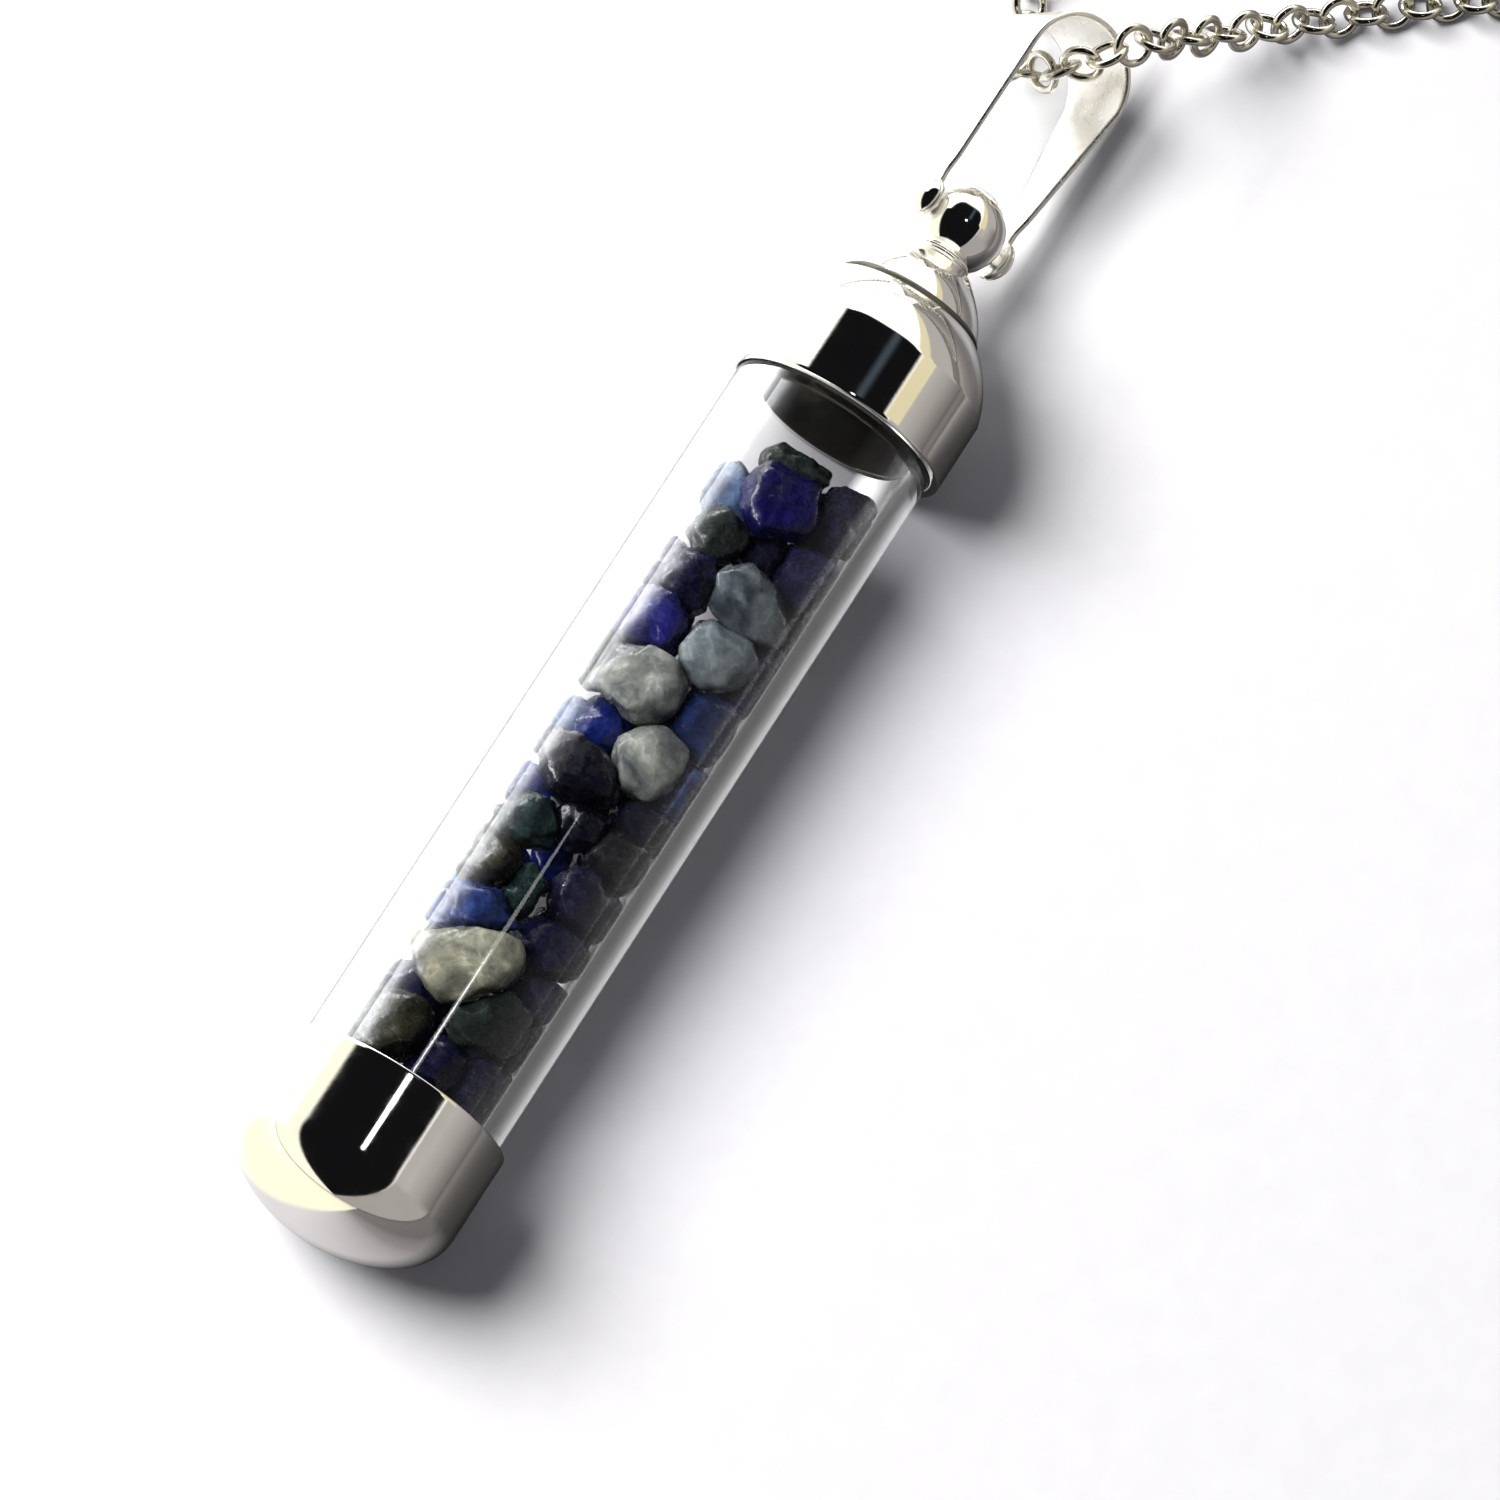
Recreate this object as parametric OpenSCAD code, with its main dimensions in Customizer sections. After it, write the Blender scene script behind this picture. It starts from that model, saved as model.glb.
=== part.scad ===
// Tube pendant: a clear glass tube of gem chips between two polished caps,
// hung by a ball and a leaf-shaped bail on a rolo chain.
// It lies on a surface: +X runs along the pendant towards the bail, and +Z is up.

/* [Glass tube] */
// Outer diameter of the glass
glass_d = 10; // [9.8:0.1:10.2]
// Thickness of the glass wall
glass_wall = 1.05; // [0.9:0.05:1.2]
// Length of glass that shows between the two caps
glass_show = 36.55; // [36.5:0.05:37.5]
// Depth of glass inside each cap
glass_seat = 3; // [2.6:0.1:3.2]

/* [Caps] */
// Outer diameter of both caps
cap_d = 11; // [10.9:0.1:11.4]
// Thickness of the caps' domes
cap_wall = 0.4; // [0.3:0.05:0.5]
// Height of the straight skirt of the bottom cap
bottom_skirt = 4.2; // [4:0.05:4.6]
// Height of the bottom cap's dome
bottom_dome = 3.4; // [2.6:0.1:4]
// Height of the straight skirt of the top cap
top_skirt = 3.5; // [3.4:0.05:3.7]
// Height of the top cap's dome
top_dome = 4.2; // [4:0.1:4.4]

/* [Crown and ball] */
// Outer diameter of the crown dome's rim
crown_d = 7.2; // [7.1:0.1:7.6]
// Height of the crown dome's rim above the mouth of the top cap
crown_rise = 6.4; // [6.3:0.05:6.6]
// Height of the crown dome
crown_h = 2.6; // [2.5:0.05:2.65]
// Diameter of the ball
ball_d = 4.1; // [4:0.05:4.15]
// Height of the ball's centre above the mouth of the top cap
ball_rise = 11.05; // [11.05:0.05:11.4]

/* [Bail] */
// Thickness of the bail's sheet
bail_t = 0.28; // [0.2:0.02:0.3]
// Length from the pin to the outside of the arch
bail_l = 11.5; // [11.2:0.1:12]
// Width of the bail at the arch
bail_w = 4.5; // [4.2:0.1:4.7]
// Diameter of the bail's round ears
ear_d = 2; // [1.8:0.1:2.2]
// Diameter of the cross pin
pin_d = 0.8; // [0.6:0.05:0.9]
// Diameter of the pin's domed heads
head_d = 2; // [1.8:0.05:2]
// Turn of the pin about the pendant's own axis
pin_turn = 30; // [28:1:32]
// Drop of the bail towards the surface
bail_drop = 5; // [4:0.5:5.5]

/* [Chain and clasp] */
// Outer diameter of the chain's links
link_d = 2.1; // [1.9:0.05:2.15]
// Outer diameter of the clasp's ring
clasp_d = 6.2; // [5.8:0.1:6.2]

/* [Stones] */
// Clear gap between two stones
stone_gap = 0.12; // [0.1:0.01:0.16]
// Depth of the dents in a stone, as a share of its size
stone_dent = 0.13; // [0:0.01:0.2]

/* [Hidden] */
$fn = 96;

// Small gap between pieces that touch on the real object
seat = 0.04;
// Running clearance of the ball's bore on the pin
pin_play = 0.05;
// Post of the ball, through the crown dome into the top cap
post_d = 1.6;
post_l = 6.2;
// Collar rings under the ball, each with its radius and its height above the crown dome,
// on a core that joins them to the ball
collar_rings = [[1.42, 0.03], [1.4, 0.22]];
collar_wire = 0.2;
collar_r = 1.29;
// Steps of a dome's outline, and the crease where the top cap's dome leaves its skirt
dome_steps = 18;
top_crease = 16;
// Wall, top radius and outward bow of the crown dome, and the steps of its outline
crown_wall = 0.3;
crown_top_r = 1.75;
crown_bow = 0.25;
crown_steps = 8;

glass_r = glass_d / 2;
bore_r = glass_r - glass_wall;
cap_r = cap_d / 2;
crown_r = crown_d / 2;
ball_r = ball_d / 2;
ear_r = ear_d / 2;
pin_r = pin_d / 2;
post_r = post_d / 2;
link_r = link_d / 2;

// Places along the pendant, from the mouth of the top cap
bottom_mouth = -glass_show;
bottom_end = bottom_mouth - bottom_skirt - bottom_dome;
glass_low = bottom_mouth - glass_seat;
crown_top = crown_rise + crown_h;

// The bail's sheet: half spacings of its legs at the ears and at the arch, and the height
// above the pin where the legs start to lean out
ear_in = 2.22;
arch_r = 3;
lean_from = 1.2;
arch_low = bail_l - arch_r;
// Height of the pin's domed heads over the bail's ears, and the sphere that shapes them
head_h = 0.55;
head_r = head_d / 2;
head_sphere_r = (head_r * head_r + head_h * head_h) / (2 * head_h);
// Half widths of the bail and their heights above the pin, from its neck to its arch
bail_widths = [[0.45, 1.5], [0.75, 2.25], [bail_w / 2 - 0.07, 8.6], [bail_w / 2, 10]];

// The far end of the chain and the clasp's wires
clasp_x = 150;
clasp_wire = 1.1;
eye_d = 2;
eye_wire = 0.6;

// The chain's routes from the clasp to the bail: X from the ball, Y to the left, Z from the surface
left_route = [
    [150.0, 4.6, 1.1], [148.4, 14.5, 1.1], [143.5, 25.5, 1.1], [135.5, 35.5, 1.1], [125.0, 44.0, 1.1],
    [112.5, 50.8, 1.1], [99.0, 55.2, 1.1], [84.5, 57.0, 1.1], [70.5, 55.8, 1.1], [57.5, 51.6, 1.1],
    [46.0, 45.0, 1.1], [37.0, 36.5, 1.1], [31.0, 27.5, 1.1], [26.5, 19.5, 1.1], [22.8, 12.8, 1.1],
    [19.0, 7.6, 1.1], [15.6, 4.6, 1.1], [13.2, 3.3, 1.1], [11.5, 2.8, 1.1], [10.3, 2.5, 1.25],
    [9.4, 2.2, 1.75], [8.8, 1.8, 2.55], [8.6, 1.35, 3.35], [8.7, 0.9, 4.2]];
right_route = [
    [150.0, -4.6, 1.1], [148.6, -13.0, 1.1], [144.5, -24.0, 1.1], [137.5, -34.5, 1.1], [128.0, -43.5, 1.1],
    [116.5, -50.6, 1.1], [104.0, -55.5, 1.1], [90.5, -57.8, 1.1], [76.5, -57.4, 1.1], [63.5, -54.4, 1.1],
    [52.5, -48.8, 1.1], [43.5, -41.2, 1.1], [37.0, -33.0, 1.1], [32.0, -25.0, 1.1], [27.5, -18.2, 1.1],
    [23.0, -12.6, 1.1], [19.6, -9.0, 1.3], [17.0, -6.6, 2.3], [14.9, -4.9, 3.8], [13.2, -3.6, 5.6],
    [11.9, -2.6, 6.9], [10.7, -1.7, 7.4], [9.7, -0.9, 7.0], [9.05, -0.2, 6.1], [8.8, 0.35, 5.1],
    [8.72, 0.82, 4.35]];
chain_sides = 8;
// A span of the route longer than this gets a ring at its middle too
long_span = 7;

// The middle of the part's box is the origin
ball_x = -(clasp_x + clasp_d / 2 + bottom_end - ball_rise) / 2;
axis_y = 0.45;
axis_z = cap_r;

// Stones as they show from above: [along the pendant, left, up, half length, half width, turn]
shown_stones = [
    [-3.0, 0.2, 0.6, 1.3, 0.9, 90], [-5.3, 0.2, 2.2, 1.6, 1.4, 0], [-4.2, -2.4, 0.6, 1.5, 1.4, 20],
    [-5.6, 2.1, 0.3, 1.3, 1.0, 0], [-7.7, 1.5, 1.8, 1.2, 0.9, 0], [-7.2, -2.4, 0.9, 1.3, 1.2, 0],
    [-7.2, -0.4, 1.0, 1.2, 1.0, 0], [-8.9, -3.0, -0.2, 1.7, 0.8, 0], [-9.9, -1.0, 2.4, 2.2, 1.0, 67],
    [-10.4, 1.4, 1.8, 1.2, 1.0, 0], [-9.9, 2.8, 0.2, 1.2, 0.8, 0], [-12.9, 1.7, 1.9, 1.5, 1.3, 0],
    [-12.7, -1.1, 2.2, 1.8, 1.1, -52], [-12.3, -3.0, 0.4, 1.8, 1.0, 0], [-15.6, 0.8, 2.3, 1.8, 1.6, 0],
    [-15.6, -2.3, 1.5, 1.6, 1.2, 90], [-14.8, 2.9, 0.1, 1.2, 0.8, 0], [-18.0, 1.3, 1.5, 1.7, 0.8, -30],
    [-18.5, -1.1, 2.2, 1.8, 1.3, 0], [-18.7, -2.9, 0.9, 1.9, 1.0, 0], [-18.7, 2.7, 0.2, 1.5, 0.8, -20],
    [-20.6, 0.8, 2.1, 1.9, 1.4, 90], [-20.9, -2.5, 1.3, 1.3, 1.0, 90], [-22.4, 0.0, 1.9, 1.4, 1.0, 90],
    [-22.0, 2.4, 0.9, 1.0, 0.7, 0], [-23.4, 1.4, 1.9, 1.8, 0.8, -53], [-22.7, -2.3, 1.3, 1.6, 1.4, 0],
    [-25.2, -2.4, 1.4, 1.6, 1.3, 90], [-25.8, 2.0, 1.4, 1.4, 1.2, 90], [-26.2, 0.3, 1.8, 1.0, 0.7, 0],
    [-28.3, 1.5, 1.9, 1.7, 1.1, -50], [-27.8, -2.1, 1.2, 1.5, 1.3, 90], [-30.6, 0.6, 2.3, 2.6, 1.3, -60],
    [-29.7, -2.7, 0.9, 1.2, 1.0, 0], [-32.2, -1.5, 1.9, 1.8, 1.1, -55], [-31.6, -3.1, 0.0, 1.2, 0.8, 0],
    [-32.4, 2.2, 0.8, 1.2, 0.7, 90], [-34.7, 1.8, 1.7, 1.6, 1.5, 0], [-35.2, -0.7, 1.7, 1.3, 1.1, 0],
    [-34.8, -2.6, 0.9, 1.6, 1.1, 0], [-37.9, 0.3, 1.5, 1.6, 1.4, 90]];
// The stones under them mirror those that lie high enough, a little further down the tube
under_shift = -1.3;
under_low = 0.5;
under_drop = 0.6;
under_share = 0.75;
// A stone swells by this share until it meets its neighbours
stone_swell = 1.5;
stone_top = -2.3;
stone_rings = 5;
ring_points = 8;
// Stones whose centres are further apart than this don't touch
reach = 6.5;
// Each stone leans by up to this many degrees, and has its own random dents
stone_lean = 20;
lean_step = 137;
dent_seed = 40;

stones_all = concat(shown_stones, [for (s = shown_stones) if (s[2] > under_low)
    [s[0] + under_shift, s[1], -under_drop - under_share * s[2], s[3], s[4], -s[5]]]);

function unit(v) = v / norm(v);

// Places the pendant's own axis, given along Z from the top cap's mouth, on the surface
module on_axis() {
    translate([ball_x - ball_rise, axis_y, axis_z]) rotate([0, 90, 0]) children();
}

// Places what has the pin along X, the bail's width along Y and the pendant's axis along Z
module at_pin() {
    translate([ball_x, axis_y, axis_z]) rotate([pin_turn, 0, 0]) rotate([90, 0, 90]) children();
}

// Half outline of a dome on a straight skirt, which it leaves at a crease of some degrees
function dome_outline(r, skirt, dome, crease) = concat([[0, 0], [r, 0]],
    [for (k = [0:dome_steps - 1]) let (a = crease + (90 - crease) * k / dome_steps)
        [r * cos(a) / cos(crease), skirt + dome * (sin(a) - sin(crease)) / (1 - sin(crease))]],
    [[0, skirt + dome]]);

module dome(r, skirt, dome, crease) {
    rotate_extrude() polygon(dome_outline(r, skirt, dome, crease));
}

// A cap: its bore takes the glass, and its dome is a thin shell
module cap(skirt, top, crease) {
    difference() {
        dome(cap_r, skirt, top, crease);
        translate([0, 0, -seat]) dome(glass_r + seat, skirt + seat, top - cap_wall, crease);
    }
}

// Half outline of the crown dome, whose side bows outwards
function crown_side(inset) = [for (k = [0:crown_steps]) let (f = k / crown_steps)
    [crown_r - inset + (crown_top_r - crown_r) * f + crown_bow * sin(180 * f), crown_h * f - inset]];

module crown_solid(inset) {
    rotate_extrude() polygon(concat([[0, -inset - seat], [crown_r - inset, -inset - seat]],
        crown_side(inset), [[0, crown_h - inset]]));
}

module glass_tube() {
    color("lightcyan", 0.35) on_axis() translate([0, 0, glass_low]) difference() {
        cylinder(r = glass_r, h = glass_show + 2 * glass_seat);
        translate([0, 0, -1]) cylinder(r = bore_r, h = glass_show + 2 * glass_seat + 2);
    }
}

module bottom_cap() {
    color("silver") on_axis() translate([0, 0, bottom_mouth]) mirror([0, 0, 1])
        cap(bottom_skirt, bottom_dome, 0);
}

module top_cap() {
    color("silver") on_axis() difference() {
        cap(top_skirt, top_dome, top_crease);
        cylinder(r = post_r + seat, h = top_skirt + top_dome + 1);
    }
}

module crown_dome() {
    color("gainsboro") on_axis() difference() {
        translate([0, 0, crown_rise]) difference() {
            crown_solid(0);
            crown_solid(crown_wall);
            cylinder(r = post_r + seat, h = crown_h + 1);
        }
        dome(cap_r + seat, top_skirt, top_dome + seat, top_crease);
    }
}

module hanger_ball() {
    color("silver") at_pin() difference() {
        union() {
            sphere(r = ball_r);
            translate([0, 0, -post_l]) cylinder(r = post_r, h = post_l);
            translate([0, 0, crown_top + seat - ball_rise]) cylinder(r = collar_r, h = ball_r);
            for (ring = collar_rings)
                translate([0, 0, crown_top + collar_wire / 2 + ring[1] - ball_rise])
                    rotate_extrude() translate([ring[0] - collar_wire / 2, 0]) circle(d = collar_wire);
        }
        rotate([0, 90, 0]) cylinder(r = pin_r + pin_play, h = ball_d + 1, center = true);
    }
}

// One face of the bail's bent sheet seen from the front: up a leg, round the arch, down the other
function bail_face(ear, r) = concat([[ear, -ear_d], [ear, lean_from]],
    [for (a = [0:7.5:180]) [r * cos(a), arch_low + r * sin(a)]], [[-ear, lean_from], [-ear, -ear_d]]);

module bail_bend() {
    inner = bail_face(ear_in, arch_r - bail_t);
    polygon(concat(bail_face(ear_in + bail_t, arch_r), [for (k = [len(inner) - 1:-1:0]) inner[k]]));
}

// Side view of the bail: a round ear, a neck and a leaf that widens to the arch
module bail_leaf() {
    circle(ear_r);
    translate([-bail_widths[0][0], 0]) square([2 * bail_widths[0][0], bail_widths[0][1]]);
    polygon(concat(bail_widths, [[bail_w / 2, bail_l + 1], [-bail_w / 2, bail_l + 1]],
        [for (k = [len(bail_widths) - 1:-1:0]) [-bail_widths[k][0], bail_widths[k][1]]]));
}

module bail() {
    color("gainsboro") at_pin() rotate([bail_drop, 0, 0]) difference() {
        intersection() {
            rotate([90, 0, 0]) linear_extrude(2 * bail_w, center = true) bail_bend();
            rotate([90, 0, 90]) linear_extrude(2 * bail_w, center = true) bail_leaf();
        }
        rotate([0, 90, 0]) cylinder(r = pin_r + seat, h = 4 * ear_in, center = true);
    }
}

// The cross pin, with a domed head over each ear of the bail
module bail_pin() {
    ear_out = ear_in + bail_t + seat;
    color("silver") at_pin() {
        rotate([0, 90, 0]) cylinder(r = pin_r, h = 2 * ear_out + head_h, center = true);
        for (side = [0, 1]) mirror([side, 0, 0]) translate([ear_out, 0, 0]) rotate([0, 90, 0])
            intersection() {
                translate([0, 0, head_h - head_sphere_r]) sphere(r = head_sphere_r);
                cylinder(r = head_r, h = head_h);
            }
    }
}

// Planes half way to each near stone, moved by the two sizes: [direction, distance]
function stone_planes(k) = let (s = stones_all[k], p = [s[0], s[1], s[2]])
    [for (j = [0:len(stones_all) - 1])
        let (o = stones_all[j], v = [o[0], o[1], o[2]] - p, d = norm(v))
        if (j != k && d < reach) [v / d, (d * d + s[3] * s[4] - o[3] * o[4]) / (2 * d) - stone_gap / 2]];

// Distance from a stone's centre to the bore's wall along a direction
function wall_way(p, d) = let (a = d[1] * d[1] + d[2] * d[2], b = p[1] * d[1] + p[2] * d[2],
    c = p[1] * p[1] + p[2] * p[2] - pow(bore_r - seat, 2)) a < 0.001 ? 99 : (sqrt(b * b - a * c) - b) / a;

// Distance along a direction to the pile's top or to the bottom cap
function end_way(p, d) = abs(d[0]) < 0.001 ? 99 :
    ((d[0] > 0 ? stone_top : bottom_mouth - bottom_skirt + 1) - p[0]) / d[0];

// Directions of a stone's corners: two poles and rings between them, in its own turned axes
function stone_way(k, i, j) = let (turn = stones_all[k][5], lean = stone_lean * sin(lean_step * k),
    u = [cos(turn) * cos(lean), sin(turn) * cos(lean), sin(lean)], v = [-sin(turn), cos(turn), 0],
    w = cross(u, v), lat = 180 * i / (stone_rings + 1), lon = 360 * (j + i / 2) / ring_points)
    [u, v, w, cos(lat), sin(lat) * cos(lon), sin(lat) * sin(lon)];

function stone_corner(k, planes, i, j, dent) = let (s = stones_all[k], p = [s[0], s[1], s[2]],
    q = stone_way(k, i, j), d = q[0] * q[3] + q[1] * q[4] + q[2] * q[5],
    own = stone_swell / sqrt(pow(q[3] / s[3], 2) + (pow(q[4], 2) + pow(q[5], 2)) / pow(s[4], 2)),
    free = min([for (plane = planes) let (c = d * plane[0]) c > 0.01 ? plane[1] / c : 99]))
    p + d * dent * min(own, free, wall_way(p, d), end_way(p, d));

module stone(k) {
    planes = stone_planes(k);
    dents = rands(1 - stone_dent, 1, stone_rings * ring_points + 2, dent_seed + k);
    corners = concat([stone_corner(k, planes, 0, 0, dents[0])],
        [for (i = [1:stone_rings], j = [0:ring_points - 1])
            stone_corner(k, planes, i, j, dents[(i - 1) * ring_points + j + 1])],
        [stone_corner(k, planes, stone_rings + 1, 0, dents[stone_rings * ring_points + 1])]);
    last = len(corners) - 1;
    faces = concat([for (j = [0:ring_points - 1]) let (n = (j + 1) % ring_points) [0, n + 1, j + 1]],
        [for (i = [0:stone_rings - 2], j = [0:ring_points - 1])
            let (n = (j + 1) % ring_points, a = 1 + i * ring_points, b = a + ring_points)
            each [[a + j, a + n, b + j], [a + n, b + n, b + j]]],
        [for (j = [0:ring_points - 1]) let (n = (j + 1) % ring_points, a = last - ring_points)
            [last, a + j, a + n]]);
    polyhedron(corners, faces);
}

module stones() {
    color("slateblue") multmatrix([[1, 0, 0, ball_x - ball_rise], [0, 1, 0, axis_y], [0, 0, 1, axis_z]])
        for (k = [0:len(stones_all) - 1]) stone(k);
}

// A point of a smooth curve through the points of a route
function curve_point(p, i, t) = let (a = p[max(i - 1, 0)], b = p[i], c = p[i + 1],
    d = p[min(i + 2, len(p) - 1)])
    (2 * b + (c - a) * t + (2 * a - 5 * b + 4 * c - d) * t * t + (3 * b - a - 3 * c + d) * t * t * t) / 2;

function curve(p) = concat([for (i = [0:len(p) - 2]) let (n = norm(p[i + 1] - p[i]) > long_span ? 2 : 1)
    each [for (k = [0:n - 1]) curve_point(p, i, k / n)]], [p[len(p) - 1]]);

function heading(c, i) = unit(c[min(i + 1, len(c) - 1)] - c[max(i - 1, 0)]);

// Side direction of each ring, carried along the curve without twist
function sides(c, i, side) = let (h = heading(c, i), s = unit(side - (side * h) * h))
    i == len(c) - 1 ? [s] : concat([s], sides(c, i + 1, s));

// The space a chain takes: a tube as wide as its links
module chain_tube(route) {
    c = curve(route);
    side = sides(c, 0, [1, 0, 0]);
    n = len(c);
    corners = [for (i = [0:n - 1], j = [0:chain_sides - 1]) let (a = 360 * j / chain_sides)
        c[i] + link_r * (cos(a) * side[i] + sin(a) * cross(heading(c, i), side[i]))];
    faces = concat([[for (j = [0:chain_sides - 1]) j]],
        [for (i = [0:n - 2], j = [0:chain_sides - 1]) let (m = (j + 1) % chain_sides,
            a = i * chain_sides, b = a + chain_sides) each [[a + m, a + j, b + j], [a + m, b + j, b + m]]],
        [[for (j = [chain_sides - 1:-1:0]) (n - 1) * chain_sides + j]]);
    translate([ball_x, axis_y, 0]) polyhedron(corners, faces);
}

module chain_right() {
    color("lightgray") chain_tube(right_route);
}

module chain_left() {
    color("lightgray") chain_tube(left_route);
}

module ring(d, wire) {
    rotate_extrude() translate([(d - wire) / 2, 0]) circle(d = wire, $fn = 32);
}

module clasp() {
    color("silver") translate([ball_x + clasp_x, axis_y, clasp_wire / 2]) {
        ring(clasp_d, clasp_wire);
        for (side = [-1, 1])
            translate([0, side * (clasp_d / 2 + eye_d / 2 - eye_wire), 0]) ring(eye_d, eye_wire);
    }
}

glass_tube();
bottom_cap();
top_cap();
crown_dome();
hanger_ball();
bail();
bail_pin();
stones();
chain_right();
chain_left();
clasp();
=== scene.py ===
import math
import random

import bmesh
import bpy
import numpy as np
from mathutils import Matrix, Vector, noise

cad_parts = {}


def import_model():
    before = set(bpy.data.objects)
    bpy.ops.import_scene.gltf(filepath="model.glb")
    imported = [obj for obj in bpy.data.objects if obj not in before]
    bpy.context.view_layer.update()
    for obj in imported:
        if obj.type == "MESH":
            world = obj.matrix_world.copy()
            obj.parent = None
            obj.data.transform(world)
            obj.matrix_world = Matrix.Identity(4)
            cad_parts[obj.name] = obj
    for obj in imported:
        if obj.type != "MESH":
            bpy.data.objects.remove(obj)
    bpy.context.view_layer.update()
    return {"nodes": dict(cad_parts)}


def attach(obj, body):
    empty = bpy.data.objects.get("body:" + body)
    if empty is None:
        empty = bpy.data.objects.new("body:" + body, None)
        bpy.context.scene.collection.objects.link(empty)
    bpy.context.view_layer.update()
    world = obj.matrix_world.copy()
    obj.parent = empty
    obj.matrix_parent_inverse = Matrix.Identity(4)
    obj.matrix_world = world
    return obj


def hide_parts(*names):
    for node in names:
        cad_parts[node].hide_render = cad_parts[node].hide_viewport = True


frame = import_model()

MM = 0.001

# Places and sizes of the source, in millimetres
BALL_X = -48.95
AXIS_Y = 0.45
AXIS_Z = 5.5
BALL_RISE = 11.05
MOUTH_X = BALL_X - BALL_RISE
GLASS_R = 5.0
BORE_R = 3.95
GLASS_SHOW = 36.55
GLASS_SEAT = 3.0
GLASS_EDGE = 0.15
CAP_R = 5.5
CAP_BORE = 5.04
CAP_EDGE = 0.1
CAP_WALL = 0.4
BOTTOM_SKIRT = 4.2
BOTTOM_DOME = 3.4
TOP_SKIRT = 3.5
TOP_DOME = 4.2
TOP_CREASE = 16.0
CROWN_R = 3.6
CROWN_TOP_R = 1.75
CROWN_BOW = 0.25
CROWN_WALL = 0.3
CROWN_EDGE = 0.1
CROWN_GAP = 0.08
CROWN_RISE = 6.4
CROWN_H = 2.6
CROWN_TOP = CROWN_RISE + CROWN_H
BALL_R = 2.05
POST_R = 0.8
POST_L = 6.2
# Outer radius and rise above the crown of each collar ring
COLLAR_RINGS = [(1.42, 0.03), (1.4, 0.22)]
COLLAR_WIRE = 0.2
COLLAR_R = 1.29
PIN_R = 0.4
HEAD_R = 1.0
HEAD_H = 0.55
SEAT = 0.04
EAR_R = 1.0
EAR_IN = 2.22
BAIL_T = 0.28
BAIL_L = 11.5
BAIL_EDGE = 0.08
ARCH_R = 3.0
LEAN_FROM = 1.2
# Half width and height above the pin, from the necks to the arch
BAIL_WIDTHS = [(0.45, 1.5), (0.75, 2.25), (2.18, 8.6), (2.25, 10.0)]
PIN_TURN = 30.0
BAIL_DROP = 5.0
CLASP_X = 150.0
CLASP_D = 6.2
CLASP_WIRE = 1.1
EYE_D = 2.0
EYE_WIRE = 0.6
LINK_D = 2.1
LINK_WIRE = 0.39
LINK_PITCH = 1.31
# Degrees by which a link may turn out of its place
LINK_SWAY = 9.0
# A link heads from the point this far behind it to the point this far ahead
LINK_LOOK = 0.5
# Links on the surface lie lower than their route; the drop fades out below a height
LINK_DROP = 0.25
DROP_TOP = 2.0
DROP_FADE = 0.9
CHAIN_SEED = 7

# The chain's routes: X from the ball, Y to the left, Z from the surface
LEFT_ROUTE = [
    (150.0, 4.6, 1.1), (148.4, 14.5, 1.1), (143.5, 25.5, 1.1), (135.5, 35.5, 1.1), (125.0, 44.0, 1.1),
    (112.5, 50.8, 1.1), (99.0, 55.2, 1.1), (84.5, 57.0, 1.1), (70.5, 55.8, 1.1), (57.5, 51.6, 1.1),
    (46.0, 45.0, 1.1), (37.0, 36.5, 1.1), (31.0, 27.5, 1.1), (26.5, 19.5, 1.1), (22.8, 12.8, 1.1),
    (19.0, 7.6, 1.1), (15.6, 4.6, 1.1), (13.2, 3.3, 1.1), (11.5, 2.8, 1.1), (10.3, 2.5, 1.25),
    (9.4, 2.2, 1.75), (8.8, 1.8, 2.55), (8.6, 1.35, 3.35), (8.7, 0.9, 4.2)]
RIGHT_ROUTE = [
    (150.0, -4.6, 1.1), (148.6, -13.0, 1.1), (144.5, -24.0, 1.1), (137.5, -34.5, 1.1), (128.0, -43.5, 1.1),
    (116.5, -50.6, 1.1), (104.0, -55.5, 1.1), (90.5, -57.8, 1.1), (76.5, -57.4, 1.1), (63.5, -54.4, 1.1),
    (52.5, -48.8, 1.1), (43.5, -41.2, 1.1), (37.0, -33.0, 1.1), (32.0, -25.0, 1.1), (27.5, -18.2, 1.1),
    (23.0, -12.6, 1.1), (19.6, -9.0, 1.3), (17.0, -6.6, 2.3), (14.9, -4.9, 3.8), (13.2, -3.6, 5.6),
    (11.9, -2.6, 6.9), (10.7, -1.7, 7.4), (9.7, -0.9, 7.0), (9.05, -0.2, 6.1), (8.8, 0.35, 5.1),
    (8.72, 0.82, 4.35)]

# Most values of a noise lie between these two
NOISE_LOW = 0.35
NOISE_HIGH = 0.65


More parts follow.
